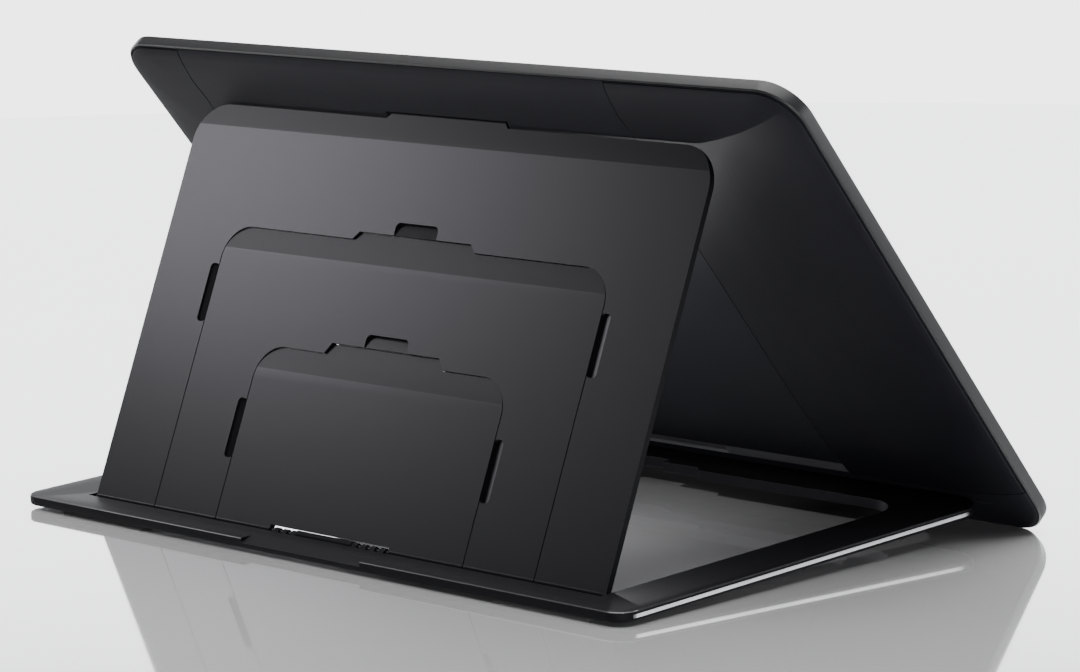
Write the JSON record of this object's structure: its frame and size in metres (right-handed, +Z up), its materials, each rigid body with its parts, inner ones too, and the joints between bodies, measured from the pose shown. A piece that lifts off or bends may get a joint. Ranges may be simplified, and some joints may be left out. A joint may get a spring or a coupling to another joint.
{
  "type": "pen display tablet with folding stand",
  "caption": "Pen display tablet leaning on a flat folding stand whose nested U-shaped legs set the drawing angle; keys and a rocker ring beside the screen.",
  "frame": {"origin": "centre of the bounding box at floor level", "axes": "+X is the width and the user's left, the user sits on the +Y side, +Z up; the stand's legs face -Y"},
  "size_m": [0.375, 0.2381, 0.1918],
  "materials": {
    "stand_plastic": "satin black, finely textured",
    "soft_cover": "soft-touch black",
    "rim_plastic": "satin dark grey",
    "key_plastic": "satin",
    "display_glass": "matt etched",
    "lcd": "smooth",
    "backlight": "white",
    "chassis": "rolled",
    "steel": "drawn",
    "board": "solder resist",
    "chip": "moulded",
    "ribbon": "polyimide",
    "rubber": "matt"
  },
  "bodies": {
    "stand_base": {"base_plate": "stand_plastic", "base_foot_left": "rubber", "base_foot_right": "rubber", "hinge_rod": "steel"},
    "tablet": {"rear_cover": "soft_cover", "front_bezel": "rim_plastic", "display_glass": "display_glass", "wing_panel_left": "soft_cover", "wing_panel_right": "soft_cover", "lcd_panel": "lcd", "backlight_unit": "backlight", "chassis_frame": "chassis", "frame_screw_1": "steel", "frame_screw_2": "steel", "frame_screw_3": "steel", "frame_screw_4": "steel", "pen_sensor_board": "board", "shield_plate": "chassis", "main_board": "board", "display_controller": "chip", "key_board": "board", "display_ribbon": "ribbon", "cable_socket": "steel"},
    "large_leg": {"large_leg": "stand_plastic"},
    "medium_leg": {"medium_leg": "stand_plastic"},
    "small_leg": {"small_leg": "stand_plastic"},
    "express_key_1": {"express_key_1": "key_plastic"},
    "express_key_2": {"express_key_2": "key_plastic"},
    "express_key_3": {"express_key_3": "key_plastic"},
    "express_key_4": {"express_key_4": "key_plastic"},
    "rocker_ring": {"rocker_ring": "key_plastic"},
    "ring_button": {"ring_button": "key_plastic"}
  },
  "joints": [
    {"name": "tablet_tilt", "type": "hinge", "parent": "stand_base", "child": "tablet", "pos_m": [0, 0.09729, 0.01123], "axis": [-1, 0, 0], "range_deg": [0, 40.4]},
    {"name": "large_leg_fold", "type": "hinge", "parent": "stand_base", "child": "large_leg", "pos_m": [0, -0.09891, 0.00492], "axis": [-1, 0, 0], "range_deg": [0, 65.88]},
    {"name": "medium_leg_open", "type": "hinge", "parent": "large_leg", "child": "medium_leg", "pos_m": [0, -0.09891, 0.00492], "axis": [1, 0, 0], "range_deg": [0, 75]},
    {"name": "small_leg_open", "type": "hinge", "parent": "large_leg", "child": "small_leg", "pos_m": [0, -0.09891, 0.00492], "axis": [1, 0, 0], "range_deg": [0, 83]},
    {"name": "express_key_1_press", "type": "slide", "parent": "tablet", "child": "express_key_1", "axis": [0, -0.7598, -0.6501], "range_m": [0, 0.0005], "stiffness_N_per_m": 800},
    {"name": "express_key_2_press", "type": "slide", "parent": "tablet", "child": "express_key_2", "axis": [0, -0.7598, -0.6501], "range_m": [0, 0.0005], "stiffness_N_per_m": 800},
    {"name": "express_key_3_press", "type": "slide", "parent": "tablet", "child": "express_key_3", "axis": [0, -0.7598, -0.6501], "range_m": [0, 0.0005], "stiffness_N_per_m": 800},
    {"name": "express_key_4_press", "type": "slide", "parent": "tablet", "child": "express_key_4", "axis": [0, -0.7598, -0.6501], "range_m": [0, 0.0005], "stiffness_N_per_m": 800},
    {"name": "rocker_ring_press", "type": "slide", "parent": "tablet", "child": "rocker_ring", "axis": [0, -0.7598, -0.6501], "range_m": [0, 0.0005], "stiffness_N_per_m": 800},
    {"name": "ring_button_press", "type": "slide", "parent": "tablet", "child": "ring_button", "axis": [0, -0.7598, -0.6501], "range_m": [0, 0.0005], "stiffness_N_per_m": 800}
  ],
  "couplings": [
    {"joint": "large_leg_fold", "follows": "tablet_tilt", "ratio": 1.63}
  ]
}
